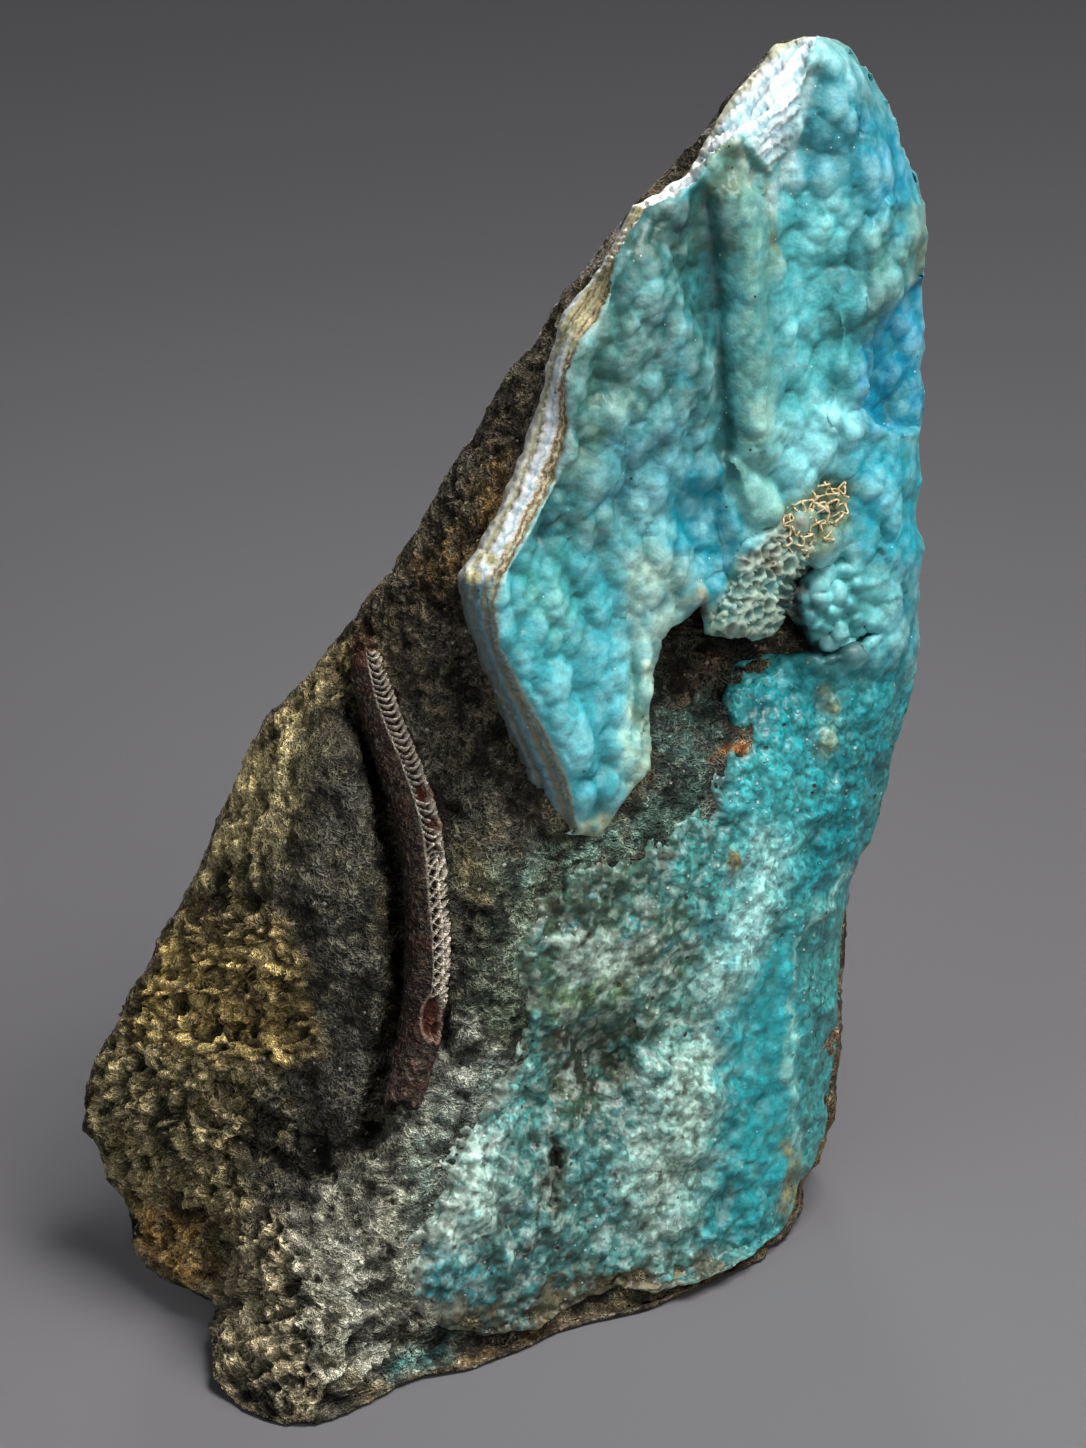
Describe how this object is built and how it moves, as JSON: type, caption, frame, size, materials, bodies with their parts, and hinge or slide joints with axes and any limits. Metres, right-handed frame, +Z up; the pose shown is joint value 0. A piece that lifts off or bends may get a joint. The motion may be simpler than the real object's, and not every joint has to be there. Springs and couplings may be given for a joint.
{
  "type": "hemimorphite specimen",
  "caption": "Raw mineral specimen: a thick blue-green lumpy hemimorphite crust with banded broken edges on dark host rock, and a brown oxide tube in a channel. It stands on a flat base.",
  "frame": {"origin": "centre of the bounding box at the surface that the stone stands on", "axes": "+Z up along the specimen's height, -Y towards the viewer of the picture, +X to the viewer's right"},
  "size_m": [0.0852, 0.0757, 0.1253],
  "materials": {
    "rock": "rough dark grey-olive host rock with beige, ochre and rust flecks",
    "crust": "waxy blue-green botryoidal hemimorphite, white and tan banding in broken edges",
    "oxide": "dull red-brown iron oxide with a paler lattice"
  },
  "bodies": {
    "root": {"host_rock": "rock", "hemimorphite_crust": "crust", "oxide_tube": "oxide"}
  },
  "joints": []
}
